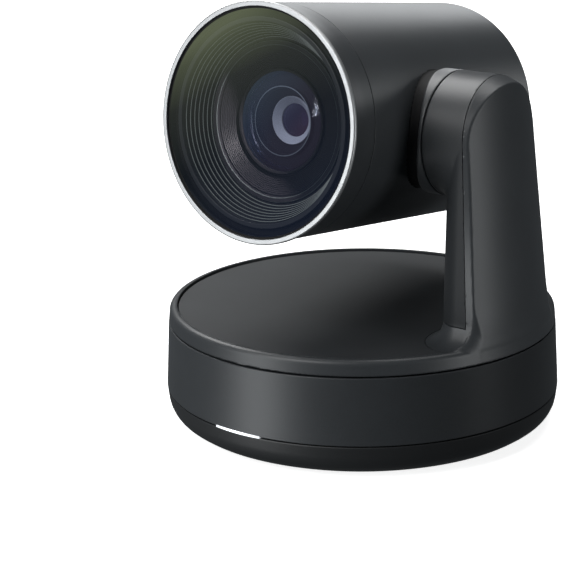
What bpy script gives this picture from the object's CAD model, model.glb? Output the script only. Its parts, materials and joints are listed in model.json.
# A desk camera: a round base, a turntable with one arm, and a barrel-shaped head that tilts on it.
# The base stands on z = 0 around the Z axis. The arm rises at +X. The head's barrel runs along Y,
# with its mouth towards -Y and raised by LEAN. Sizes are in mm unless a comment says otherwise.
import json
import math

import bmesh
import bpy
import numpy as np
from mathutils import Matrix, Vector


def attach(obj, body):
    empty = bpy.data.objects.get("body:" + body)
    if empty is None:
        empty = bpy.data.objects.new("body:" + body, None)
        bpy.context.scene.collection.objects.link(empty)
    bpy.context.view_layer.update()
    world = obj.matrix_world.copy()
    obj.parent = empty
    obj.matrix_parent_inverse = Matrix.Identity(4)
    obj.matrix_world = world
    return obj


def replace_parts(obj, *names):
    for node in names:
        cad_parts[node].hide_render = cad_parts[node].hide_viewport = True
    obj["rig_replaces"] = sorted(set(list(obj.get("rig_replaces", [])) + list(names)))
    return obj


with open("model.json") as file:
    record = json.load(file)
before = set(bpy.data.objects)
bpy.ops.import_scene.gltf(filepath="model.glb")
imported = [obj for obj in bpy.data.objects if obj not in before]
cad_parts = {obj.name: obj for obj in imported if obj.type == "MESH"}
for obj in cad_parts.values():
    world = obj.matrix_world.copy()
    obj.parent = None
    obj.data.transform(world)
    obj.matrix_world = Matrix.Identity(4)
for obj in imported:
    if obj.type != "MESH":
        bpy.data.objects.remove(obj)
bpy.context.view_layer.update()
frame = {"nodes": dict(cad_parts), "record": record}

MM = 0.001
TILT_Z = 117.2                   # height of the tilt axis
LEAN = math.radians(7.0)
BARREL_X, BARREL_RISE = -6.0, 0.9    # barrel axis from the tilt axis
BARREL = (Matrix.Translation((0, 0, TILT_Z * MM)) @ Matrix.Rotation(-LEAN, 4, "X")
          @ Matrix.Translation((BARREL_X * MM, 0, BARREL_RISE * MM)))

scene = bpy.context.scene
scene.view_settings.view_transform = "Standard"
scene.view_settings.look = "None"
for part in frame["nodes"].values():
    part.select_set(False)


# ------------------------------------------------------------------ mesh helpers
def new_object(name, verts, faces, loop_normals=None, matrix=None):
    mesh = bpy.data.meshes.new(name)
    mesh.from_pydata([tuple(v) for v in np.asarray(verts, float) * MM], [], faces)
    mesh.validate(verbose=False)
    mesh.polygons.foreach_set("use_smooth", [True] * len(mesh.polygons))
    # validate may drop bad faces, and the normals only fit when it dropped none
    if loop_normals is not None and len(loop_normals) == len(mesh.loops):
        n = np.asarray(loop_normals, float)
        n /= np.maximum(np.linalg.norm(n, axis=1, keepdims=True), 1e-12)
        mesh.normals_split_custom_set([tuple(v) for v in n])
    mesh.update()
    obj = bpy.data.objects.new(name, mesh)
    scene.collection.objects.link(obj)
    if matrix is not None:
        obj.matrix_world = matrix
    return obj


def round_corner(before, corner, after, step):
    """One outline corner as a list of (point, normal); a sharp corner has no normal."""
    here = np.array(corner[:2])
    d1 = np.array([corner[0] - before[0], corner[1] - before[1]])
    d2 = np.array([after[0] - corner[0], after[1] - corner[1]])
    len1, len2 = np.linalg.norm(d1), np.linalg.norm(d2)
    d1 /= len1
    d2 /= len2
    turn = math.atan2(d1[0] * d2[1] - d1[1] * d2[0], d1 @ d2)
    radius = corner[2]
    if radius <= 0 or abs(turn) <= 0.02:
        return [(here, None)]
    trim = min(radius * math.tan(abs(turn) / 2), 0.49 * len1, 0.49 * len2)
    radius = trim / math.tan(abs(turn) / 2)
    count = max(2, int(math.ceil(abs(math.degrees(turn)) / step)))
    heading = math.atan2(d1[1], d1[0])
    side = 1 if turn > 0 else -1
    centre = here - d1 * trim + side * radius * np.array([-d1[1], d1[0]])
    points = []
    for j in range(count + 1):
        angle = heading + turn * j / count
        normal = np.array([math.sin(angle), -math.cos(angle)])
        points.append((centre + side * radius * normal, normal))
    return points


def rounded_edges(points, step):
    """Closed outline of (a, r[, corner radius]) as edges with a normal at each end."""
    pts = [(float(p[0]), float(p[1]), float(p[2]) if len(p) > 2 else 0.0) for p in points]
    n = len(pts)
    area = sum(pts[i][0] * pts[(i + 1) % n][1] - pts[(i + 1) % n][0] * pts[i][1]
               for i in range(n))
    if area < 0:
        pts.reverse()
    corners = [round_corner(pts[i - 1], pts[i], pts[(i + 1) % n], step) for i in range(n)]
    edges = []
    for i, arc in enumerate(corners):
        for (p, p_normal), (q, q_normal) in zip(arc, arc[1:]):
            edges.append((p, q, p_normal, q_normal))
        a, b = arc[-1][0], corners[(i + 1) % n][0][0]
        d = b - a
        length = np.linalg.norm(d)
        if length > 1e-7:
            normal = np.array([d[1], -d[0]]) / length
            edges.append((a, b, normal, normal))
    return edges


def revolve(name, outline, axis="z", segments=240, matrix=None, step=12.0):
    """Solid of revolution about z or y with exact normals.

    Outline points are (place along the axis, radius[, corner radius]); step is in degrees."""
    theta = np.linspace(0, 2 * math.pi, segments, endpoint=False)
    cos, sin = np.cos(theta), np.sin(theta)

    def ring(along, radius):
        level = np.full(segments, along)
        if axis == "z":
            return np.stack([radius * cos, radius * sin, level], 1)
        return np.stack([radius * cos, level, radius * sin], 1)

    index, rings = {}, []

    def ring_number(p):
        key = (round(float(p[0]), 6), round(float(p[1]), 6))
        if key not in index:
            index[key] = len(rings)
            rings.append(ring(p[0], 0.0)[:1] if abs(p[1]) < 1e-6 else ring(p[0], p[1]))
        return index[key]

    rows = []
    for a, b, a_normal, b_normal in rounded_edges(outline, step):
        a_pole, b_pole = abs(a[1]) < 1e-6, abs(b[1]) < 1e-6
        if not (a_pole and b_pole):
            rows.append((ring_number(a), ring_number(b), a_normal, b_normal, a_pole, b_pole))
    start = np.cumsum([0] + [len(r) for r in rings])
    verts = np.concatenate(rings)
    faces, normals = [], []
    flip = None
    for a_ring, b_ring, a_normal, b_normal, a_pole, b_pole in rows:
        a, b = start[a_ring], start[b_ring]
        na, nb = ring(*a_normal), ring(*b_normal)
        for j in range(segments):
            k = (j + 1) % segments
            if a_pole:
                face, normal = [a, b + k, b + j], [(na[j] + na[k]) / 2, nb[k], nb[j]]
            elif b_pole:
                face, normal = [a + j, a + k, b], [na[j], na[k], (nb[j] + nb[k]) / 2]
            else:
                face = [a + j, a + k, b + k, b + j]
                normal = [na[j], na[k], nb[k], nb[j]]
                if flip is None:
                    p, q, r = verts[face[:3]]
                    flip = np.cross(q - p, r - p) @ normal[0] < 0
            faces.append([int(v) for v in face])
            normals.append(normal)
    if flip:
        faces = [f[::-1] for f in faces]
        normals = [n[::-1] for n in normals]
    return new_object(name, verts, faces, [v for n in normals for v in n], matrix)


def revolve_head(name, outline, segments=240, step=12.0):
    """Turned piece in the barrel's own frame, around its Y axis."""
    return revolve(name, outline, "y", segments, BARREL, step)


def face_outward(obj):
    bm = bmesh.new()
    bm.from_mesh(obj.data)
    bmesh.ops.recalc_face_normals(bm, faces=bm.faces[:])
    bm.to_mesh(obj.data)
    bm.free()


def prism(name, outline, start, end, axes="xy", matrix=None):
    """Straight block on a closed outline in the plane of the two axes, for cutting."""
    n = len(outline)

    def at(u, v, w):
        return {"xy": (u, v, w), "xz": (u, w, v), "yz": (w, u, v)}[axes]

    verts = [at(u, v, w) for w in (start, end) for u, v in outline]
    faces = [list(range(n))[::-1], list(range(n, 2 * n))]
    faces += [[i, (i + 1) % n, n + (i + 1) % n, n + i] for i in range(n)]
    obj = new_object(name, verts, faces, None, matrix)
    face_outward(obj)
    return obj


def round_rect(x0, y0, x1, y1, r, steps=6):
    points = []
    corners = ((x1 - r, y1 - r, 0), (x0 + r, y1 - r, 90), (x0 + r, y0 + r, 180), (x1 - r, y0 + r, 270))
    for cx, cy, first in corners:
        for i in range(steps + 1):
            a = math.radians(first + 90.0 * i / steps)
            points.append((cx + r * math.cos(a), cy + r * math.sin(a)))
    return points


def circle(radius, count, u=0.0, v=0.0):
    angles = [2 * math.pi * k / count for k in range(count)]
    return [(u + radius * math.cos(a), v + radius * math.sin(a)) for a in angles]


def cut(obj, *cutters):
    for cutter in cutters:
        mod = obj.modifiers.new("cut", "BOOLEAN")
        mod.operation = "DIFFERENCE"
        mod.object = cutter
        mod.solver = "EXACT"
    bpy.context.view_layer.update()
    depsgraph = bpy.context.evaluated_depsgraph_get()
    mesh = bpy.data.meshes.new_from_object(obj.evaluated_get(depsgraph))
    obj.modifiers.clear()
    old = obj.data
    obj.data = mesh
    mesh.name = obj.name
    bpy.data.meshes.remove(old)
    for cutter in cutters:
        bpy.data.objects.remove(cutter)


def weight_normals(obj):
    mod = obj.modifiers.new("weighted", "WEIGHTED_NORMAL")
    mod.keep_sharp = True
    return mod


def soften(obj, angle=30):
    """Smooth shading with edges sharp above the angle in degrees, and face-weighted normals."""
    bm = bmesh.new()
    bm.from_mesh(obj.data)
    limit = math.radians(angle)
    for e in bm.edges:
        e.smooth = not (len(e.link_faces) == 2 and e.calc_face_angle(0) > limit)
    for f in bm.faces:
        f.smooth = True
    bm.to_mesh(obj.data)
    bm.free()
    weight_normals(obj).weight = 80


# ------------------------------------------------------------------ implicit surfaces
# Fields are distances, negative inside.
def union_round(a, b, r):
    r = np.maximum(r, 1e-4)
    u, v = np.maximum(r - a, 0), np.maximum(r - b, 0)
    return np.maximum(r, np.minimum(a, b)) - np.sqrt(u * u + v * v)


def inter_round(a, b, r):
    r = np.maximum(r, 1e-4)
    u, v = np.maximum(r + a, 0), np.maximum(r + b, 0)
    return np.minimum(-r, np.maximum(a, b)) + np.sqrt(u * u + v * v)


def smoothstep(t):
    t = np.clip(t, 0, 1)
    return t * t * (3 - 2 * t)


def differences(field, x, y, z, e):
    return np.stack([field(x + e, y, z) - field(x - e, y, z),
                     field(x, y + e, z) - field(x, y - e, z),
                     field(x, y, z + e) - field(x, y, z - e)], -1)


def slope(field, x, y, z, e=0.05):
    """Unit normal of the field, sampled a distance e to each side."""
    g = differences(field, x, y, z, e)
    return g / np.maximum(np.linalg.norm(g, axis=-1, keepdims=True), 1e-9)


def edge_crossings(field, p0, p1, f0, f1):
    """Points where the field is zero on the segments p0 to p1."""
    a, b, fa, fb = np.zeros(len(p0)), np.ones(len(p0)), f0, f1
    for i in range(9):
        if i % 3 == 2:
            t = (a + b) / 2
        else:
            t = a + (b - a) * np.clip(fa / (fa - fb + 1e-12), 0.03, 0.97)
        ft = field(*(p0 + (p1 - p0) * t[:, None]).T)
        same = (ft < 0) == (fa < 0)
        a, fa = np.where(same, t, a), np.where(same, ft, fa)
        b, fb = np.where(same, b, t), np.where(same, fb, ft)
    t = a + (b - a) * np.clip(fa / (fa - fb + 1e-12), 0, 1)
    return p0 + (p1 - p0) * t[:, None]


def fit_vertices(group, count, points, normals):
    """Least-squares meeting point of the tangent planes in each cell."""
    hits = np.bincount(group, minlength=count).astype(float)
    mass = np.stack([np.bincount(group, points[:, i], count) for i in range(3)], 1) / hits[:, None]
    A = np.zeros((count, 3, 3))
    B = np.zeros((count, 3))
    rhs = np.einsum("ij,ij->i", normals, points - mass[group])
    for i in range(3):
        B[:, i] = np.bincount(group, normals[:, i] * rhs, count)
        for j in range(3):
            A[:, i, j] = np.bincount(group, normals[:, i] * normals[:, j], count)
    A += np.eye(3) * (0.04 * hits)[:, None, None]
    return mass + np.linalg.solve(A, B[..., None])[..., 0]


def contour(field, low, high, h, name, matrix=None):
    """Dual contouring of field = 0 on a grid of pitch h, with normals from its slope."""
    n = [int(math.ceil((high[i] - low[i]) / h)) + 1 for i in range(3)]
    grid = [low[i] + h * np.arange(n[i]) for i in range(3)]
    values = np.empty(n, np.float32)
    for k in range(0, n[2], 16):
        slab = np.meshgrid(grid[0], grid[1], grid[2][k:k + 16], indexing="ij")
        values[:, :, k:k + 16] = field(*slab)
    inside = values < 0
    dims = [q - 1 for q in n]
    ids, points, normals, quads = [], [], [], []
    for d in range(3):
        near, far = [slice(None)] * 3, [slice(None)] * 3
        near[d], far[d] = slice(0, -1), slice(1, None)
        e1, e2 = [q for q in range(3) if q != d]
        I = np.argwhere(inside[tuple(near)] != inside[tuple(far)])
        I = I[(I[:, e1] > 0) & (I[:, e2] > 0) & (I[:, e1] < n[e1] - 1) & (I[:, e2] < n[e2] - 1)]
        if not len(I):
            continue
        J = I.copy()
        J[:, d] += 1
        f0, f1 = (values[tuple(K.T)].astype(float) for K in (I, J))
        p0, p1 = (np.stack([grid[q][K[:, q]] for q in range(3)], 1).astype(float) for K in (I, J))
        p = edge_crossings(field, p0, p1, f0, f1)
        p_normal = slope(field, *p.T, 0.02)
        cells = []
        for o1, o2 in ((-1, -1), (0, -1), (0, 0), (-1, 0)):
            C = I.copy()
            C[:, e1] += o1
            C[:, e2] += o2
            cells.append((C[:, 0] * dims[1] + C[:, 1]) * dims[2] + C[:, 2])
            points.append(p)
            normals.append(p_normal)
        ids += cells
        quad = np.stack(cells, 1)
        starts_inside = inside[tuple(I.T)]
        keep = starts_inside if d != 1 else ~starts_inside
        quad[~keep] = quad[~keep][:, ::-1]
        quads.append(quad)
    uniq, group = np.unique(np.concatenate(ids), return_inverse=True)
    v = fit_vertices(group, len(uniq), np.concatenate(points), np.concatenate(normals))
    cell = (uniq // (dims[1] * dims[2]), (uniq // dims[2]) % dims[1], uniq % dims[2])
    corner = np.stack([grid[q][cell[q]] for q in range(3)], 1)
    v = np.clip(v, corner - 0.05 * h, corner + 1.05 * h)
    quads = np.searchsorted(uniq, np.concatenate(quads))
    # pull the vertices onto the surface
    for _ in range(2):
        e = 0.03
        value = field(*v.T)
        g = differences(field, *v.T, e) / (2 * e)
        g2 = np.einsum("ij,ij->i", g, g)
        move = -value[:, None] * g / np.maximum(g2, 0.3)[:, None]
        v = v + np.clip(np.where((g2 > 0.3)[:, None], move, 0), -0.25 * h, 0.25 * h)
    v_normal = slope(field, *v.T, 0.12)
    flat = np.cross(v[quads[:, 2]] - v[quads[:, 0]], v[quads[:, 3]] - v[quads[:, 1]])
    flat /= np.maximum(np.linalg.norm(flat, axis=1, keepdims=True), 1e-12)
    if np.median(np.einsum("fij,fj->fi", v_normal[quads], flat)) < 0:
        quads = quads[:, ::-1]
        flat = -flat
    loops = v_normal[quads]
    # near a crease the face's own normal is used
    crease = np.einsum("fij,fj->fi", loops, flat) < math.cos(math.radians(38.0))
    loops = np.where(crease[..., None], flat[:, None, :], loops)
    return new_object(name, v, quads.tolist(), loops.reshape(-1, 3), matrix)


# ------------------------------------------------------------------ arm and turntable fields
HUB_R = 23.2                     # round top of the arm, about the tilt axis
FOOT_HALF_WIDTH = 25.6           # arm half width at FOOT_DROP below the tilt axis
FOOT_DROP = 62.3
SIDE_SCALE = 0.99926             # turns the sloping side's offset into a distance
TURNTABLE_Z = 40.0               # bottom of the turntable
WALL_R, WALL_SLOPE = 75.15, 0.098
WALL_SCALE = 0.996
SEAM_LOW, SEAM_HIGH = 64.6, 59.3     # x of the cover seam at its two ends
SEAM_Z, SEAM_HEIGHT = 51.9, 89.1
SEAM_GAP = 0.14                  # each side of the seam
HUB_TAPER = 0.39                 # narrowing of the hub outside the seam
FACE_EDGE = 0.45                 # edge radius on the outer face
ARM_INNER_X, HUB_INNER_X = 50.2, 43.4
ARM_INNER_EDGE, HUB_INNER_EDGE = 10.0, 0.35
SHAFT_R = 9.0
SHAFT_MOUTH_X = 52.0             # outer end of the shaft hole in the cover
DISC_TOP = 45.0
DECK_Z = DISC_TOP - 0.04
RIM_TOP, RIM_CREST, RIM_INNER_R = 45.9, 1.9, 71.75
DECK_R = 72.4
PLATE_BOTTOM = 43.4
SHELL_LEDGE_Z, COVER_BOTTOM_Z = 52.05, 52.42
ARM_WALL = 2.4


def half_width(z):
    return HUB_R + (TILT_Z - z) * (FOOT_HALF_WIDTH - HUB_R) / FOOT_DROP


def seam_x(z):
    return SEAM_LOW - (z - SEAM_Z) * (SEAM_LOW - SEAM_HIGH) / SEAM_HEIGHT


def wall_radius(z):
    return WALL_R - (z - TURNTABLE_Z) * WALL_SLOPE


def side(y, z):
    """Arm outline seen along X."""
    flank = (np.abs(y) - half_width(z)) * SIDE_SCALE
    top = np.hypot(y, z - TILT_Z) - HUB_R
    return np.where(z > TILT_Z, top, flank)


def outer_face(x, y, z):
    """Outer (+X) face; its curvature tightens from the turntable's to a 60 mm radius at z = 60."""
    rho = wall_radius(z) - (wall_radius(60.0) - 60.0) * smoothstep((z - 46.0) / 15.0)
    return np.hypot(x - (wall_radius(z) - rho), y) - rho


def limb(x, y, z):
    """Arm from the turntable to its round top."""
    taper = 0.03 + 0.36 * smoothstep((z - 58.0) / 59.0)
    flank = (side(y, z) + np.maximum(x - seam_x(z), 0) * taper) / np.sqrt(1 + taper * taper)
    edge = FACE_EDGE + 1.9 * smoothstep((61.0 - z) / 11.0)
    outer = inter_round(flank, outer_face(x, y, z), edge)
    return inter_round(outer, ARM_INNER_X - x, ARM_INNER_EDGE)


def hub(x, y, z):
    """Round boss around the tilt axis, reaching further in than the arm."""
    b, beyond = HUB_TAPER, x - seam_x(z)
    drum = np.hypot(y, z - TILT_Z) - HUB_R + np.maximum(beyond, 0) * b
    drum = drum / np.sqrt(1 + b * b * (x > seam_x(z)))
    drum = inter_round(drum, outer_face(x, y, z), FACE_EDGE)
    return inter_round(drum, HUB_INNER_X - x, HUB_INNER_EDGE)


def slope_match(normals_a, normals_b):
    return np.clip(np.einsum("ij,ij->i", normals_a, normals_b), -1, 1)


def arm(x, y, z):
    """Limb and hub, with a fillet that fades where their surfaces run together."""
    a, b = limb(x, y, z), hub(x, y, z)
    out = np.minimum(a, b)
    near = (z > 72.0) & (z < TILT_Z) & (a < 12.0) & (b < 12.0)
    if np.any(near):
        p = x[near], y[near], z[near]
        dot = slope_match(slope(limb, *p), slope(hub, *p))
        radius = 5.0 + 5.0 * smoothstep((p[2] - 96.0) / 10.0)
        fillet = radius * np.clip(1 - dot, 0, 1) * smoothstep((60.5 - p[0]) / 5.0)
        out[near] = union_round(a[near], b[near], fillet)
    return out


def wall_and_top(x, y, z, top, crest):
    return inter_round((np.hypot(x, y) - wall_radius(z)) * WALL_SCALE, z - top, crest)


def with_foot(x, y, z, top, crest):
    """The arm flaring into a deck whose top is at the given height."""
    def drum(px, py, pz):
        return wall_and_top(px, py, pz, top, crest)

    deck = drum(x, y, z)
    a = arm(x, y, z)
    near = (a < 14.0) & (z < 62.0)
    out = np.minimum(a, deck)
    if np.any(near):
        p = x[near], y[near], z[near]
        normal = slope(limb, *p)
        dot = slope_match(normal, slope(drum, *p))
        fillet = (6.0 + 3.5 * np.abs(normal[:, 1]) ** 2) * np.clip(1 - dot, 0, 1.0)
        out[near] = union_round(a[near], deck[near], fillet)
    return out


def hollow(x, y, z):
    return np.maximum(arm(x, y, np.maximum(z, 56.0)) + ARM_WALL, 38.0 - z)


def plate_edge(x, y):
    return with_foot(x, y, np.full_like(x, DISC_TOP), DECK_Z, 0.0) + 0.02


def shell_field(x, y, z):
    rho = np.hypot(x, y)
    rim = np.maximum(with_foot(x, y, z, RIM_TOP, RIM_CREST), RIM_INNER_R - rho)
    rim = inter_round(rim, TURNTABLE_Z - z, 0.35)
    inner = np.maximum(with_foot(x, y, z, DECK_Z, 0.0), rho - DECK_R)
    low = np.maximum(plate_edge(x, y), PLATE_BOTTOM - z)
    inner = np.where(z < DISC_TOP, np.maximum(inner, low), inner)
    cover = np.maximum(SHELL_LEDGE_Z - z, x - seam_x(z) - SEAM_GAP)
    d = np.maximum(np.minimum(rim, inner), -cover)
    return np.maximum(d, -hollow(x, y, z))


def cover_field(x, y, z):
    bounds = np.maximum(COVER_BOTTOM_Z - z, x - seam_x(z) + SEAM_GAP)
    d = np.maximum(with_foot(x, y, z, DECK_Z, 0.0), bounds)
    hole = np.maximum(np.hypot(y, z - TILT_Z) - SHAFT_R, x - SHAFT_MOUTH_X)
    return np.maximum(np.maximum(d, -hollow(x, y, z)), -hole)


turntable_shell = contour(shell_field, (-77, -77, 39.2), (77, 77, 142.0), 0.6,
                          "v_turntable_shell")
arm_cover = contour(cover_field, (42.4, -27.2, 51.2), (66.0, 27.2, 141.6), 0.5,
                    "v_arm_inner_cover")


# ------------------------------------------------------------------ turntable disc
def notch_outline(centre_x=60.0, reach=44.0, outside_r=78.0):
    """Outline of the arm's foot, found by bisection along rays from inside it."""
    points = []
    for k in range(240):
        t = 2 * math.pi * k / 240
        low, high = 0.0, 60.0
        for _ in range(40):
            mid = (low + high) / 2
            x = np.array([centre_x + mid * math.cos(t)])
            y = np.array([mid * math.sin(t)])
            in_notch = np.hypot(x, y)[0] > outside_r or plate_edge(x, y)[0] < 0.03
            if in_notch and mid < reach:
                low = mid
            else:
                high = mid
        points.append((centre_x + low * math.cos(t), low * math.sin(t)))
    return points


# Outlines from here on: (place along the axis, radius[, corner radius])
def make_disc():
    obj = revolve("v_turntable_disc", [
        (42.6, 0), (42.6, 71.35), (DISC_TOP, 71.35, 0.35), (DISC_TOP, 0)], segments=300)
    cut(obj, prism("notch", notch_outline(), 40.0, 50.0))
    soften(obj)
    return obj


disc = make_disc()

# ------------------------------------------------------------------ base
SLOT_LEFT, SLOT_RIGHT = -12.35, 8.55     # light slot in the front (-Y) wall
SLOT_CENTRE = (SLOT_LEFT + SLOT_RIGHT) / 2
SCREW_OFFSET, SCREW_HOLE_R, SOCKET_HOLE_R = 36, 3.0, 6.1


def front_slot(name, low, high):
    return prism(name, round_rect(SLOT_LEFT, low, SLOT_RIGHT, high, 0.2), -80.0, -74.3, "xz")


def make_housing():
    obj = revolve("v_base_housing", [
        (14.0, 73.9), (14.0, 76.57, 0.35), (39.4, 75.25, 0.45), (39.4, 71.4), (37.2, 71.4),
        (37.2, 72.85), (16.0, 73.95)], segments=360)
    recess = prism("recess", round_rect(-26.1, 18.3, 26.1, 34.5, 2.2), 40.0, 90.0, "xz")
    cut(obj, recess, front_slot("slot", 12.0, 14.42))
    soften(obj)
    return obj


def make_cup():
    obj = revolve("v_base_lower_cup", [
        (0.8, 0), (0.8, 55.9), (1.1, 56.0), (1.1, 64.1), (0.8, 64.2), (0.8, 67.4, 1.5),
        (2.15, 70.6, 5.0), (4.4, 73.85, 7.0), (7.7, 75.75, 14.0), (13.6, 76.5, 0.45),
        (13.6, 73.4), (4.6, 69.4, 2.0), (3.2, 64.0), (3.2, 0)], segments=360)
    cutters = [front_slot("slot2", 13.28, 15.0)]
    for sx in (1, -1):
        for sy in (1, -1):
            hole = circle(SCREW_HOLE_R, 32, sx * SCREW_OFFSET, sy * SCREW_OFFSET)
            cutters.append(prism("screwhole", hole, -1.0, 6.0))
    cutters.append(prism("sockethole", circle(SOCKET_HOLE_R, 64), -1.0, 6.0))
    cut(obj, *cutters)
    soften(obj)
    return obj


def make_light_bar(steps=48):
    """Bowed strip that follows the wall in the front slot."""
    section = [  # z, radius
        (13.33, 76.3), (13.5, 76.52), (14.2, 76.52), (14.37, 76.3), (14.37, 74.5), (13.33, 74.5)]
    half = math.asin(10.3 / 76.6)
    first = -math.pi / 2 - math.radians(1.43) - half
    verts, faces = [], []
    for i in range(steps + 1):
        t = first + 2 * half * i / steps
        verts += [(r * math.cos(t), r * math.sin(t), z) for z, r in section]
    m = len(section)
    for i in range(steps):
        for j in range(m):
            k = (j + 1) % m
            faces.append([i * m + j, i * m + k, (i + 1) * m + k, (i + 1) * m + j])
    faces += [list(range(m)), [steps * m + j for j in range(m)][::-1]]
    obj = new_object("v_status_light", verts, faces)
    face_outward(obj)
    soften(obj, 25)
    return obj


housing = make_housing()
cup = make_cup()
foot = revolve("v_foot_ring", [
    (0.0, 56.1, 0.35), (0.0, 57.6, 0.1), (0.25, 58.0, 0.1), (0.25, 59.6, 0.1), (0.0, 60.0, 0.1),
    (0.0, 61.2, 0.1), (0.25, 61.6, 0.1), (0.25, 62.6, 0.1), (0.0, 62.9, 0.1), (0.0, 64.0, 0.35),
    (1.1, 64.0), (1.1, 56.1)], segments=300)
light_bar = make_light_bar()

# ------------------------------------------------------------------ head shell, in barrel frame
BARREL_FRONT_Y, BARREL_FRONT_R = -43.3, 43.1
BARREL_LENGTH, BARREL_DROP = 111.3, 1.2      # the radius drops this much over the length
BARREL_BACK_Y = BARREL_FRONT_Y + BARREL_LENGTH
BARREL_BACK_R = BARREL_FRONT_R - BARREL_DROP
BARREL_WALL = 2.2


def barrel_radius(y):
    return BARREL_FRONT_R - (y - BARREL_FRONT_Y) * (BARREL_DROP / BARREL_LENGTH)


def make_barrel():
    inner_back, inner_r = BARREL_BACK_Y - BARREL_WALL, BARREL_BACK_R - BARREL_WALL
    obj = revolve_head("v_head_barrel", [
        (BARREL_FRONT_Y, 40.9), (BARREL_FRONT_Y, BARREL_FRONT_R, 0.22),
        (BARREL_BACK_Y, BARREL_BACK_R, 4.6), (BARREL_BACK_Y, 0),
        (inner_back, 0), (inner_back, inner_r, 3.0)], step=7.5)
    hole = circle(20.2, 72, 0.0, -BARREL_RISE)
    cut(obj, prism("shafthole", hole, 20.0, 60.0, "yz", BARREL))
    soften(obj)
    return obj


barrel = make_barrel()
sleeve = revolve_head("v_front_sleeve", [
    (-55.6, 42.0), (-55.6, 43.5, 0.12), (-53.6, 43.26, 30.0), (-49.5, 43.08, 60.0),
    (-43.6, 43.15, 0.22), (-43.6, 40.7), (-39.3, 40.7), (-39.3, 39.3), (-45.0, 39.3),
    (-45.0, 42.0)])
bezel = revolve_head("v_bezel_ring", [
    (-57.1, 41.9, 0.28), (-57.1, 43.95, 0.75), (-55.65, 43.95, 0.2), (-55.65, 41.9)],
    segments=300, step=9.0)
gasket = revolve_head("v_front_gasket", [
    (-56.1, 41.15, 0.12), (-56.1, 41.85, 0.12), (-52.6, 41.85), (-52.6, 41.15)])
window = revolve_head("v_front_window", [
    (-56.3, 0), (-56.3, 41.1, 0.3), (-54.8, 41.1, 0.1), (-54.8, 0)])

# ------------------------------------------------------------------ baffle and lens
BAFFLE_STEPS = 7
BAFFLE_Y, BAFFLE_DEPTH = -54.15, 10.0
BAFFLE_R, BAFFLE_SHRINK = 36.4, 5.8


def baffle_station(i):
    """(y, radius) after i of the stepped rings."""
    share = i / BAFFLE_STEPS
    return BAFFLE_Y + BAFFLE_DEPTH * share, BAFFLE_R - BAFFLE_SHRINK * share


def make_baffle():
    """Flat mouth, then stepped rings that shrink inwards."""
    profile = [(-54.72, 36.5, 0.2)]
    for i in range(BAFFLE_STEPS):
        r0 = baffle_station(i)[1]
        y1, r1 = baffle_station(i + 1)
        profile += [(y1 - 0.02, r0 + 0.15, 0.06), (y1 - 0.02, r1 + 0.33, 0.05),
                    (y1 - 0.3, r1 + 0.27, 0.1), (y1 - 0.3, r1 + 0.02, 0.12)]
    profile += [(-44.1, 30.6, 0.05), (-44.1, 30.0), (-42.9, 30.0), (-42.9, 33.6), (-51.4, 40.9),
                (-53.1, 40.9, 0.2), (-53.1, 38.3, 0.3), (-54.72, 38.2, 0.3)]
    return revolve_head("v_light_baffle", profile)


def make_lens_tube(threads=12):
    """Front ring, finely threaded cone and tube."""
    profile = [(-44.9, 27.75, 0.3), (-44.9, 29.6, 0.35), (-38.9, 29.6), (-35.9, 24.0),
               (12.0, 24.0, 0.3), (12.0, 21.0), (-31.8, 21.0), (-31.8, 16.8), (-33.0, 16.8),
               (-33.0, 18.85), (-40.6, 18.85, 0.1)]
    for i in range(threads):
        t0, t1 = i / threads, (i + 0.55) / threads
        profile += [(-40.75 - 3.0 * t0, 19.5 + 7.5 * t0, 0.04),
                    (-40.75 - 3.0 * t1 - 0.24, 19.5 + 7.5 * t1, 0.08)]
    profile += [(-43.75, 27.1, 0.05), (-43.6, 27.45, 0.05)]
    return revolve_head("v_lens_barrel", profile)


def make_front_lens(edge_y=-41.0, edge_r=18.8, rise=4.2, thickness=1.5, inner_r=17.6, steps=16):
    """Hollow spherical dome on a short cylindrical skirt."""
    def dome(apex, sphere_r, rim_r, stations):
        radii = [rim_r * i / steps for i in stations]
        return [(apex + sphere_r - math.sqrt(sphere_r ** 2 - r ** 2), r) for r in radii]

    sphere_r = (edge_r ** 2 + rise ** 2) / (2 * rise)
    apex, back_y = edge_y - rise, -39.4
    outline = dome(apex, sphere_r, edge_r, range(steps + 1))
    outline += [(back_y, edge_r), (back_y, inner_r)]
    outline += dome(apex + thickness, sphere_r - thickness, inner_r, range(steps - 1, -1, -1))
    obj = revolve_head("v_front_lens", outline, segments=192)
    weight_normals(obj)
    return obj


baffle = make_baffle()
lens_tube = make_lens_tube()
front_lens = make_front_lens()
retainer = revolve_head("v_lens_retaining_ring", [
    (-42.2, 18.35, 0.12), (-42.35, 19.3, 0.15), (-41.05, 19.35), (-41.05, 18.82),
    (-41.3, 18.3)], segments=192)
# inside the dome: funnel with a thin raised edge, silver ring, pupil
inner_cell = revolve_head("v_inner_lens_cell", [
    (-39.2, 18.4, 0.2), (-39.3, 13.3, 0.2), (-40.9, 12.9, 0.1), (-40.95, 12.55, 0.1),
    (-38.5, 12.0, 0.3), (-35.2, 9.0, 0.2), (-33.4, 8.8), (-33.4, 18.6), (-36.0, 18.6)],
    segments=192)
silver_ring = revolve_head("v_inner_silver_ring", [
    (-35.6, 8.75, 0.15), (-35.4, 8.9), (-31.0, 8.9), (-31.0, 6.3), (-33.2, 6.15, 0.15)],
    segments=192)
pupil = revolve_head("v_pupil_glass", [
    (-33.9, 0), (-33.75, 2.5), (-33.3, 4.6), (-32.6, 6.2), (-31.4, 6.2), (-31.4, 0)],
    segments=96)
weight_normals(pupil)

# ------------------------------------------------------------------ tilt collar
LIP_X, LIP_STANDOFF = 49.0, 4.4      # lip's outer end, and its gap from the barrel's side
NECK_X, NECK_R = 48.8, 21.7


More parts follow.
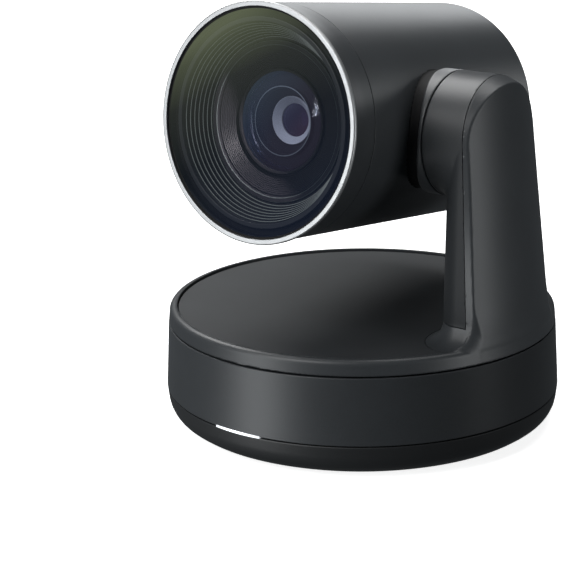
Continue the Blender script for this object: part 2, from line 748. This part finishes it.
def collar_field(x, y, z):
    """Lip standing off the barrel on a slimmer neck, both around the tilt axis."""
    radius = np.hypot(y, z + BARREL_RISE)
    side_gap = np.hypot(x, z) - (barrel_radius(y) - 0.06)
    lip = inter_round(radius - HUB_R, LIP_STANDOFF - side_gap, 1.2)
    lip = inter_round(lip, x - LIP_X, 0.35)
    neck = np.maximum(radius - NECK_R, x - NECK_X)
    d = union_round(lip, union_round(neck, side_gap, 0.8), 0.4)
    for limit in (-0.4 - side_gap, 24.0 - x, radius - HUB_R - 0.3, SHAFT_R - radius):
        d = np.maximum(d, limit)
    return d


collar = contour(collar_field, (26.0, -29.0, -30.0), (50.2, 29.0, 28.5), 0.55, "v_tilt_collar",
                 matrix=BARREL)

# ------------------------------------------------------------------ material helpers, metres
MATERIALS = {}


def new_material(name):
    """Register an empty node material and return its node tree."""
    material = bpy.data.materials.new(name)
    material.use_nodes = True
    material.node_tree.nodes.clear()
    MATERIALS[name] = material
    return material.node_tree


def node(tree, kind, inputs, **settings):
    """Add a shader node. An input takes a value, a socket, or a node (its first output)."""
    new = tree.nodes.new("ShaderNode" + kind)
    for key, value in settings.items():
        setattr(new, key, value)
    for key, value in inputs.items():
        if isinstance(value, bpy.types.Node):
            value = value.outputs[0]
        if isinstance(value, bpy.types.NodeSocket):
            tree.links.new(value, new.inputs[key])
        else:
            new.inputs[key].default_value = value
    return new


def calc(tree, operation, *values):
    return node(tree, "Math", dict(enumerate(values)), operation=operation)


def object_coords(tree):
    return node(tree, "TexCoord", {}).outputs["Object"]


def map_range(tree, value, low, high):
    return node(tree, "MapRange", {"Value": value, "To Min": low, "To Max": high})


def ramp(tree, factor, stops):
    """Colour ramp from (position, rgb) stops."""
    new = node(tree, "ValToRGB", {"Fac": factor})
    elements = new.color_ramp.elements
    while len(elements) > 1:
        elements.remove(elements[-1])
    elements[0].position = stops[0][0]
    elements[0].color = (*stops[0][1], 1.0)
    for position, color in stops[1:]:
        elements.new(position).color = (*color, 1.0)
    return new


def patchy_tone(tree, noise, color, spread):
    dark = [c * (1 - spread) for c in color]
    light = [min(1, c * (1 + spread)) for c in color]
    return ramp(tree, noise, [(0.3, dark), (0.7, light)])


def plastic(name, color, rough, grain=0.16, grain_mm=0.22, spread=0.08, spec=0.5):
    """Moulded plastic: fine grain, slight patchiness in tone and gloss."""
    tree = new_material(name)
    coords = object_coords(tree)
    big = node(tree, "TexNoise", {"Vector": coords, "Scale": 38.0, "Detail": 3.0,
                                  "Roughness": 0.55})
    fine = node(tree, "TexNoise", {"Vector": coords, "Scale": 1000.0 / grain_mm * 0.5,
                                   "Detail": 2.0, "Roughness": 0.6})
    cell = node(tree, "TexVoronoi", {"Vector": coords, "Scale": 1000.0 / grain_mm * 0.36})
    tone = patchy_tone(tree, big, color, spread)
    speck = ramp(tree, fine, [(0.25, (0.72,) * 3), (0.75, (1.28,) * 3)])
    # sockets 6 and 7 are the colours A and B, and output 2 is the colour result
    mix = node(tree, "Mix", {"Factor": 0.35, 6: tone, 7: speck}, data_type="RGBA",
               blend_type="MULTIPLY")
    height = calc(tree, "ADD", fine, cell)
    surface = node(tree, "BsdfPrincipled", {
        "Base Color": mix.outputs[2],
        "Roughness": map_range(tree, fine, max(0.02, rough - 0.05), rough + 0.05),
        "Normal": node(tree, "Bump", {"Strength": grain, "Distance": 0.00003, "Height": height}),
        "Specular IOR Level": spec})
    node(tree, "OutputMaterial", {"Surface": surface})


def metal(name, color, rough, brush=(1.0, 1.0, 1.0), strength=0.08, scale=900.0, spread=0.06):
    """Turned or drawn metal: noise stretched along the tool's path."""
    tree = new_material(name)
    coords = object_coords(tree)
    stretched = node(tree, "Mapping", {"Vector": coords, "Scale": brush})
    marks = node(tree, "TexNoise", {"Vector": stretched, "Scale": scale, "Detail": 4.0,
                                    "Roughness": 0.6})
    patches = node(tree, "TexNoise", {"Vector": coords, "Scale": 60.0, "Detail": 2.0})
    surface = node(tree, "BsdfPrincipled", {
        "Metallic": 1.0, "Roughness": rough,
        "Base Color": patchy_tone(tree, patches, color, spread),
        "Normal": node(tree, "Bump", {"Strength": strength, "Distance": 0.00002,
                                      "Height": marks})})
    gloss = map_range(tree, marks, rough * 0.8, rough * 1.25)
    tree.links.new(gloss.outputs[0], surface.inputs["Roughness"])
    node(tree, "OutputMaterial", {"Surface": surface})


def veil(name, direction, span, stops, pale=(1, 1, 1), gloss=0.6, rough=0.03):
    """Coated glass: clear straight through, a weak coloured bloom, and a little reflection.

    The bloom follows the stops across the face, along direction (x, z), over +-span metres."""
    drift = 0.05                 # how far noise shifts the bloom
    tree = new_material(name)
    coords = object_coords(tree)
    xyz = node(tree, "SeparateXYZ", {0: coords})
    across = calc(tree, "MULTIPLY", xyz.outputs[0], 0.5 * direction[0] / span)
    across = calc(tree, "MULTIPLY_ADD", xyz.outputs[2], 0.5 * direction[1] / span, across)
    noise = node(tree, "TexNoise", {"Vector": coords, "Scale": 22.0, "Detail": 1.0})
    across = calc(tree, "MULTIPLY_ADD", noise, drift, across)
    across = calc(tree, "ADD", across, 0.5 - drift / 2)
    clear = node(tree, "BsdfTransparent", {"Color": (*pale, 1.0)})
    shine = node(tree, "BsdfGlossy", {"Roughness": rough, "Color": (0.8, 0.85, 1.0, 1)})
    fresnel = node(tree, "Fresnel", {"IOR": 1.2})
    glass = node(tree, "MixShader", {0: calc(tree, "MULTIPLY", fresnel, gloss), 1: clear,
                                     2: shine})
    # the bloom belongs to the front face only, and only the camera sees it
    backfacing = node(tree, "NewGeometry", {}).outputs["Backfacing"]
    camera_ray = node(tree, "LightPath", {}).outputs["Is Camera Ray"]
    visible = calc(tree, "MULTIPLY", calc(tree, "SUBTRACT", 1.0, backfacing), camera_ray)
    bloom = node(tree, "Emission", {"Color": ramp(tree, across, stops), "Strength": visible})
    node(tree, "OutputMaterial", {"Surface": node(tree, "AddShader", {0: glass, 1: bloom})})


def light_diffuser():
    """Glowing plastic, brightest at the middle of the light slot."""
    tree = new_material("light_diffuser")
    coords = object_coords(tree)
    xyz = node(tree, "SeparateXYZ", {0: coords})
    offset = calc(tree, "ABSOLUTE", calc(tree, "ADD", xyz.outputs[0], -SLOT_CENTRE * MM))
    falloff = node(tree, "MapRange", {"Value": offset, "From Min": 0.0, "From Max": 0.0106,
                                      "To Min": 1.7, "To Max": 0.45},
                   interpolation_type="SMOOTHSTEP")
    noise = node(tree, "TexNoise", {"Vector": coords, "Scale": 900.0})
    glow = calc(tree, "MULTIPLY", falloff, map_range(tree, noise, 0.94, 1.06))
    surface = node(tree, "BsdfPrincipled", {
        "Roughness": 0.35, "Base Color": (0.85, 0.88, 0.92, 1),
        "Emission Color": (0.92, 0.96, 1.0, 1), "Emission Strength": glow})
    node(tree, "OutputMaterial", {"Surface": surface})


# ------------------------------------------------------------------ materials
plastic("graphite_shell", color=(0.028, 0.031, 0.034), rough=0.42)
plastic("graphite_disc", color=(0.027, 0.0295, 0.032), rough=0.60, spec=0.32)
plastic("black_cup", color=(0.013, 0.014, 0.015), rough=0.46)
plastic("rubber_foot", color=(0.018, 0.018, 0.018), rough=0.7, grain=0.3, grain_mm=0.4)
metal("silver_bezel", color=(0.42, 0.425, 0.43), rough=0.46, brush=(1.0, 40.0, 1.0),
      strength=0.05, scale=400.0, spread=0.03)
plastic("black_gasket", color=(0.004, 0.004, 0.004), rough=0.6, grain=0.05, spec=0.2)
veil("coated_window", direction=(-0.5, 0.866), span=0.0385, stops=[
    (0.0, (0.006, 0.009, 0.018)), (0.45, (0.006, 0.008, 0.011)), (0.75, (0.021, 0.024, 0.021)),
    (0.92, (0.062, 0.072, 0.046)), (1.0, (0.10, 0.115, 0.07))])
veil("optical_glass", direction=(-0.85, 0.52), span=0.019, stops=[
    (0.0, (0.007, 0.004, 0.007)), (0.4, (0.008, 0.006, 0.012)), (0.8, (0.010, 0.015, 0.030)),
    (1.0, (0.014, 0.022, 0.036))], pale=(0.88, 0.9, 0.96), gloss=1.0, rough=0.06)
veil("pupil_glass", direction=(-0.8, 0.6), span=0.006, stops=[
    (0.0, (0.022, 0.012, 0.024)), (0.6, (0.012, 0.012, 0.026)), (1.0, (0.02, 0.022, 0.04))],
    pale=(0.35, 0.3, 0.45), gloss=0.8, rough=0.08)
plastic("baffle_black", color=(0.020, 0.022, 0.027), rough=0.42, grain=0.03, spec=0.45)
plastic("mouth_black", color=(0.0025, 0.0025, 0.003), rough=0.6, grain=0.03, spec=0.15)
plastic("rib_edge", color=(0.24, 0.27, 0.27), rough=0.4, grain=0.02)
plastic("rib_wall", color=(0.010, 0.011, 0.013), rough=0.5, grain=0.03, spec=0.3)
plastic("cell_black", color=(0.0045, 0.0045, 0.007), rough=0.5, grain=0.02, spec=0.25)
plastic("anodised_black", color=(0.052, 0.049, 0.058), rough=0.42, grain=0.02)
plastic("satin_ring", color=(0.64, 0.65, 0.67), rough=0.45, grain=0.04, spread=0.06)
plastic("circuit_board", color=(0.01, 0.075, 0.035), rough=0.35, grain=0.25, grain_mm=0.9,
        spread=0.3)
plastic("sensor_glass", color=(0.03, 0.02, 0.05), rough=0.12, grain=0.02)
metal("cast_alloy", color=(0.42, 0.43, 0.44), rough=0.5, strength=0.35, scale=700.0, spread=0.12)
metal("bearing_steel", color=(0.55, 0.55, 0.56), rough=0.25, brush=(1, 1, 12), strength=0.05)
metal("motor_can", color=(0.42, 0.42, 0.43), rough=0.33, brush=(1, 1, 8), strength=0.06)
metal("brass_insert", color=(0.72, 0.52, 0.22), rough=0.28, brush=(1, 1, 14))
metal("port_metal", color=(0.60, 0.60, 0.61), rough=0.22, brush=(6, 1, 1), strength=0.04)
plastic("nylon_gear", color=(0.72, 0.70, 0.64), rough=0.42, grain=0.1, spread=0.04)
plastic("button_cap", color=(0.022, 0.023, 0.024), rough=0.38, grain=0.1)
plastic("cable_jacket", color=(0.015, 0.015, 0.016), rough=0.4, grain=0.2, grain_mm=0.5)
light_diffuser()

# ------------------------------------------------------------------ riding and finishes
FITTINGS = [  # piece, body it rides, material, CAD node it replaces, slot if not the material
    (turntable_shell, "turntable", "graphite_shell", "turntable_shell", None),
    (arm_cover, "turntable", "graphite_shell", "arm_inner_cover", None),
    (disc, "turntable", "graphite_disc", "turntable_disc", None),
    (housing, "base", "graphite_shell", "base_housing", None),
    (cup, "base", "black_cup", "base_lower_cup", None),
    (foot, "base", "rubber_foot", "foot_pad", None),
    (light_bar, "base", "light_diffuser", "status_light_bar", None),
    (barrel, "head", "graphite_shell", "head_barrel", None),
    (sleeve, "head", "graphite_shell", "front_sleeve", None),
    (collar, "head", "graphite_shell", "tilt_collar", None),
    (bezel, "head", "silver_bezel", "bezel_ring", None),
    (gasket, "head", "black_gasket", "front_gasket", None),
    (window, "head", "coated_window", "front_window", None),
    (baffle, "head", "baffle_black", "light_baffle", None),
    (lens_tube, "head", "anodised_black", "lens_barrel", None),
    (front_lens, "head", "optical_glass", "front_lens", None),
    (retainer, "head", "anodised_black", "lens_retaining_ring", None),
    (inner_cell, "head", "cell_black", "inner_lens_ring", "baffle_black"),
    (silver_ring, "head", "satin_ring", None, None),
    (pupil, "head", "pupil_glass", None, "optical_glass"),
]
hidden = set()
for piece, body, material_name, replaced, slot in FITTINGS:
    piece.data.materials.clear()
    piece.data.materials.append(MATERIALS[material_name])
    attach(piece, body)
    if replaced:
        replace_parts(piece, replaced)
    hidden |= set(piece.get("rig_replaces", []))


def finish_faces(obj, extra, rule):
    """Add finishes to a piece; rule(x, y, z) of a face centre in mm picks the slot."""
    for name in extra:
        obj.data.materials.append(MATERIALS[name])
    for face in obj.data.polygons:
        c = face.center
        face.material_index = rule(c.x / MM, c.y / MM, c.z / MM)


def collar_rule(x, y, z):
    side_gap = math.hypot(x, z) - barrel_radius(y)
    return 1 if side_gap < 4.3 and math.hypot(y, z + BARREL_RISE) < 22.4 else 0


def baffle_rule(x, y, z):
    r = math.hypot(x, z)
    if r > 38.15 or (y > -44.1 and r > 29.5):
        return 1
    for i in range(BAFFLE_STEPS):
        y1, r1 = baffle_station(i + 1)
        if -0.36 < y - y1 < -0.15 and r1 - 0.02 < r < r1 + 0.36:
            return 2
    return 0 if r > 36.3 else 3


def lens_tube_rule(x, y, z):
    r = math.hypot(x, z)
    return 1 if y < -44.5 and (r < 28.02 or r > 29.3) else 0


def inner_cell_rule(x, y, z):
    return 1 if y < -40.75 and 12.4 < math.hypot(x, z) < 13.1 else 0


finish_faces(collar, ("mouth_black",), collar_rule)
finish_faces(baffle, ("mouth_black", "rib_edge", "rib_wall"), baffle_rule)
finish_faces(lens_tube, ("rib_edge",), lens_tube_rule)
finish_faces(inner_cell, ("rib_edge",), inner_cell_rule)

# CAD parts that stay visible
BEVELLED = ("io_panel", "hdmi_port", "usb_c_port", "power_jack", "pairing_button")
slots = {s["node"]: s["material_slot"] for s in frame["record"]["subparts"]}
for name, part in frame["nodes"].items():
    if name in hidden:
        continue
    part.data.materials.clear()
    part.data.materials.append(MATERIALS.get(slots[name], MATERIALS["black_cup"]))
    for face in part.data.polygons:
        face.material_index = 0
        face.use_smooth = True
    weld = part.modifiers.new("weld", "WELD")
    weld.merge_threshold = 2e-6
    if name in BEVELLED:
        bevel = part.modifiers.new("bevel", "BEVEL")
        bevel.width = 0.00018
        bevel.segments = 2
        bevel.limit_method = "ANGLE"
        bevel.angle_limit = math.radians(35)
    weight_normals(part)


# ------------------------------------------------------------------ floor and world
def make_floor(half=6):
    """Pale floor seen by the camera only, so the low softboxes shine through it."""
    mesh = bpy.data.meshes.new("floor")
    corners = [(-half, -half, 0), (half, -half, 0), (half, half, 0), (-half, half, 0)]
    mesh.from_pydata(corners, [], [[0, 1, 2, 3]])
    floor = bpy.data.objects.new("floor", mesh)
    scene.collection.objects.link(floor)
    tree = new_material("pale_floor")
    surface = node(tree, "BsdfPrincipled", {
        "Roughness": 0.9, "Base Color": (0.80, 0.80, 0.80, 1), "Specular IOR Level": 0.0,
        "Emission Color": (1, 1, 1, 1), "Emission Strength": 0.85})
    node(tree, "OutputMaterial", {"Surface": surface})
    mesh.materials.append(MATERIALS["pale_floor"])
    floor.visible_diffuse = False
    floor.visible_glossy = False
    floor.visible_transmission = False
    floor.visible_shadow = False


def make_world():
    """White to the camera, dim and cool to everything else."""
    world = bpy.data.worlds.new("studio")
    scene.world = world
    world.use_nodes = True
    tree = world.node_tree
    tree.nodes.clear()
    white = node(tree, "Background", {"Color": (1, 1, 1, 1), "Strength": 1.0})
    dim = node(tree, "Background", {"Color": (0.88, 0.95, 1.0, 1), "Strength": 0.10})
    camera_ray = node(tree, "LightPath", {}).outputs["Is Camera Ray"]
    mix = node(tree, "MixShader", {0: camera_ray, 1: dim, 2: white})
    node(tree, "OutputWorld", {"Surface": mix})


make_floor()
make_world()


# ------------------------------------------------------------------ lights, metres
def light_group(name, members, state):
    group = bpy.data.collections.new(name)
    for member in members:
        group.objects.link(member)
    for entry in group.collection_objects:
        entry.light_linking.link_state = state
    return group


GLASS = (window, front_lens, pupil)
NO_GLASS = light_group("all_but_glass", GLASS, "EXCLUDE")
NO_LENS = light_group("all_but_lens", GLASS + (
    lens_tube, baffle, inner_cell, silver_ring, retainer, arm_cover), "EXCLUDE")
COVER_ONLY = light_group("cover_only", (arm_cover,), "INCLUDE")
CELL_ONLY = light_group("lens_cell_only", (lens_tube, retainer), "INCLUDE")
DOME_ONLY = light_group("dome_only", (front_lens,), "INCLUDE")
NO_CELL = light_group("all_but_lens_cell", GLASS + (lens_tube, retainer), "EXCLUDE")
NO_BASE = light_group("all_but_glass_and_base", GLASS + (housing, cup), "EXCLUDE")
HEAD_ONLY = light_group("head_only", (barrel, sleeve, collar), "INCLUDE")
COOL = (0.96, 0.985, 1.0)


def add_light(name, data, azimuth, elevation, distance, receivers, target=(0, 0, 0.09)):
    """Aim a light at the target; azimuth is in degrees from -Y towards +X."""
    obj = bpy.data.objects.new(name, data)
    scene.collection.objects.link(obj)
    a, e = math.radians(azimuth), math.radians(elevation)
    away = Vector((math.sin(a) * math.cos(e), -math.cos(a) * math.cos(e), math.sin(e)))
    obj.location = Vector(target) + away * distance
    obj.rotation_euler = away.to_track_quat("Z", "Y").to_euler()
    obj.light_linking.receiver_collection = receivers


def softbox(name, azimuth, elevation, size, watts, receivers, distance=1.25, color=COOL):
    data = bpy.data.lights.new(name, "AREA")
    data.shape = "RECTANGLE"
    data.size, data.size_y = size
    data.energy = watts
    data.color = color
    add_light(name, data, azimuth, elevation, distance, receivers)


def cell_spot():
    """Narrow spot grazing the lens's threaded cone; aimed at the head's rest pose."""
    distance = 1.2
    data = bpy.data.lights.new("cell_spot", "SPOT")
    data.energy = 800.0
    data.color = (1.0, 0.96, 1.0)
    data.spot_size = 2 * math.atan(0.034 / distance)
    data.spot_blend = 0.35
    data.shadow_soft_size = 0.08
    add_light("cell", data, azimuth=74, elevation=42, distance=distance, receivers=CELL_ONLY,
              target=(-0.006, -0.042, 0.1235))


WHITE_FAR = {"distance": 1.4, "color": (1, 1, 1)}
softbox("key", azimuth=-12, elevation=40, size=(0.75, 0.6), watts=9.5, receivers=NO_CELL,
        **WHITE_FAR)
softbox("top", azimuth=-112, elevation=50, size=(0.9, 0.9), watts=16.0, receivers=NO_CELL,
        **WHITE_FAR)
softbox("over", azimuth=175, elevation=74, size=(0.8, 0.8), watts=8.0, receivers=NO_CELL,
        **WHITE_FAR)
cell_spot()
softbox("dome_glint", azimuth=5, elevation=27, size=(0.07, 0.8), watts=4.5, receivers=DOME_ONLY,
        **WHITE_FAR)
softbox("back_low", azimuth=-146, elevation=20, size=(0.9, 0.45), watts=4.2,
        receivers=HEAD_ONLY, distance=1.3)
for name, watts, receivers in (("left_strip", 10.5, NO_LENS),
                               ("left_strip_cover", 2.6, COVER_ONLY)):
    softbox(name, azimuth=-24, elevation=-4, size=(0.54, 1.3), watts=watts, receivers=receivers)
softbox("right_strip", azimuth=96, elevation=-3, size=(0.34, 0.9), watts=3.8, receivers=NO_BASE)
softbox("right_fill", azimuth=106, elevation=2, size=(0.34, 0.9), watts=1.0, receivers=NO_GLASS)
softbox("back_strip", azimuth=150, elevation=4, size=(0.4, 0.5), watts=2.0, receivers=HEAD_ONLY)

# ------------------------------------------------------------------ camera, metres
CAMERA_PLACE = (0.43417, -0.60602, 0.27659)
AZIMUTH, ELEVATION, ROLL = math.radians(35.33), math.radians(17.19), math.radians(-0.22)
AIM_RIGHT, AIM_UP = -0.04055, 0.004295   # tangents that turn the view off its main axis


def make_camera():
    data = bpy.data.cameras.new("camera")
    camera = bpy.data.objects.new("camera", data)
    scene.collection.objects.link(camera)
    level = Vector((math.cos(AZIMUTH), math.sin(AZIMUTH), 0))
    ahead = Vector((-math.sin(AZIMUTH) * math.cos(ELEVATION),
                    math.cos(AZIMUTH) * math.cos(ELEVATION), -math.sin(ELEVATION)))
    upright = level.cross(ahead)
    right = level * math.cos(ROLL) + upright * math.sin(ROLL)
    up = upright * math.cos(ROLL) - level * math.sin(ROLL)
    aim = (ahead + right * AIM_RIGHT + up * AIM_UP).normalized()
    turn = ahead.rotation_difference(aim)    # this turn adds no roll
    columns = (turn @ right, turn @ up, -aim, CAMERA_PLACE)
    rows = [tuple(column[i] for column in columns) for i in range(3)]
    camera.matrix_world = Matrix((*rows, (0, 0, 0, 1)))
    data.sensor_width = 36.0
    data.lens = 124.106897
    data.clip_start, data.clip_end = 0.01, 50.0
    scene.camera = camera


make_camera()
